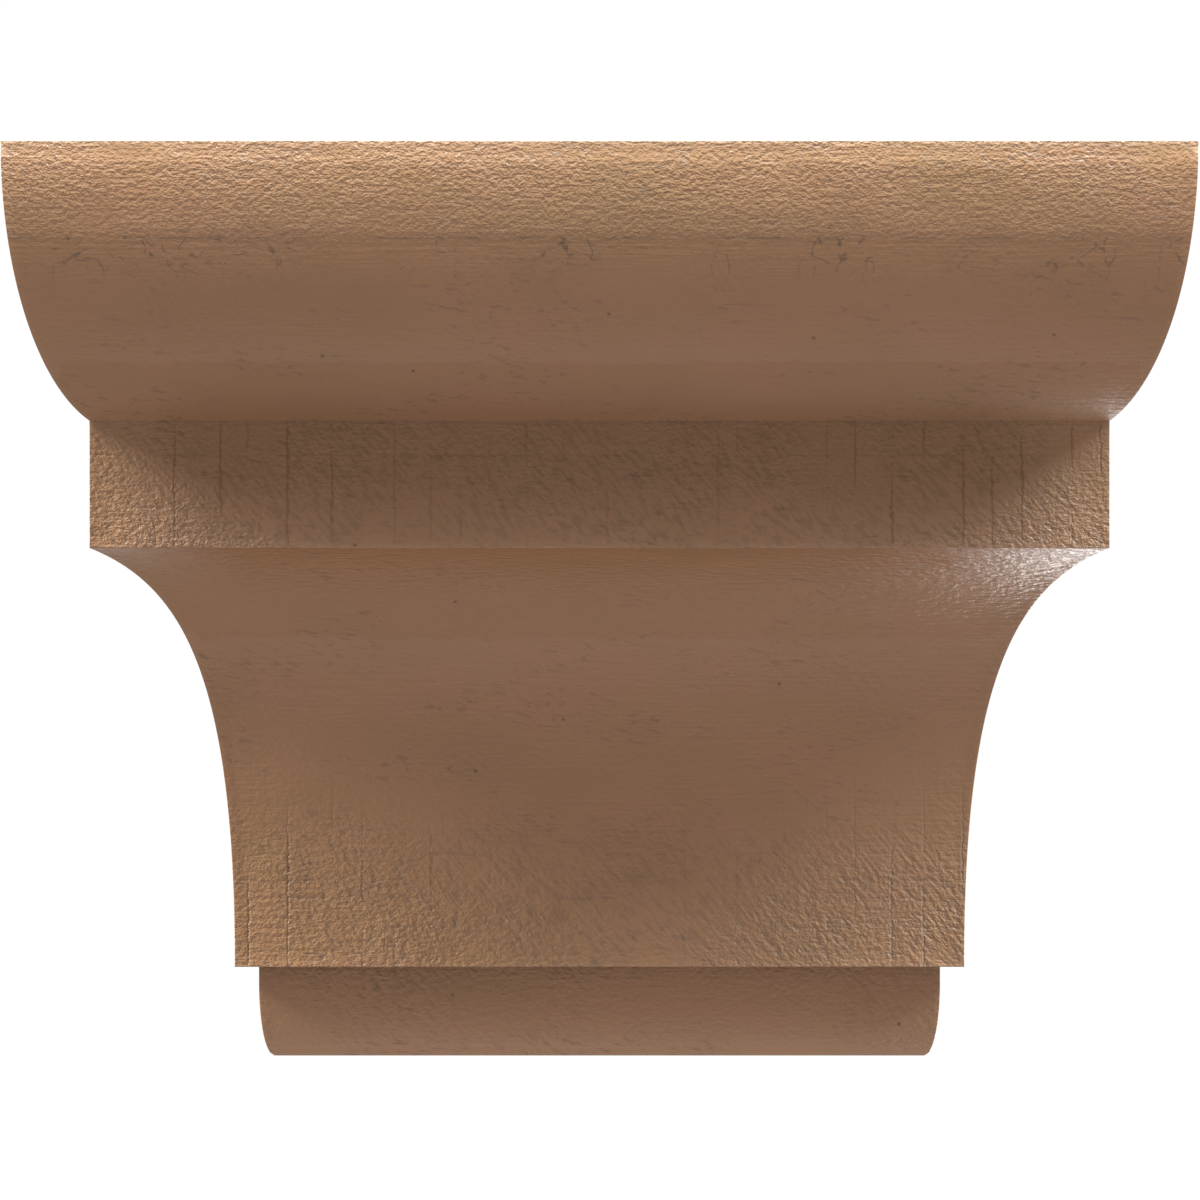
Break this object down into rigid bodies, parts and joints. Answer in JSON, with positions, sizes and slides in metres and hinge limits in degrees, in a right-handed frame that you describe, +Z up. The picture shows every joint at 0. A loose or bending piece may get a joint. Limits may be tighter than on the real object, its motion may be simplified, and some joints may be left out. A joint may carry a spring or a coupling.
{
  "type": "moulded urethane wall corbel",
  "caption": "Wall corbel moulded to look like rough-sawn timber: ovolo crown, flat band, deep cove and small rounded foot, mitred round the front and sides to carry a beam, shelf or eave.",
  "frame": {"origin": "centre of the flat back face, the face that is fixed against the wall", "axes": "+Y points out of the back face into the wall, so the moulded front faces -Y; +Z is up; +X runs along the corbel's width, and the corbel is mirror-symmetric across x = 0"},
  "size_m": [0.3556, 0.1778, 0.2722],
  "materials": {
    "rough_sawn_urethane": "tan-brown factory-primed urethane with a rough-sawn timber texture cast into it, dull satin with a faint sheen at grazing angles"
  },
  "bodies": {
    "root": {"corbel_body": "rough_sawn_urethane"}
  },
  "joints": []
}
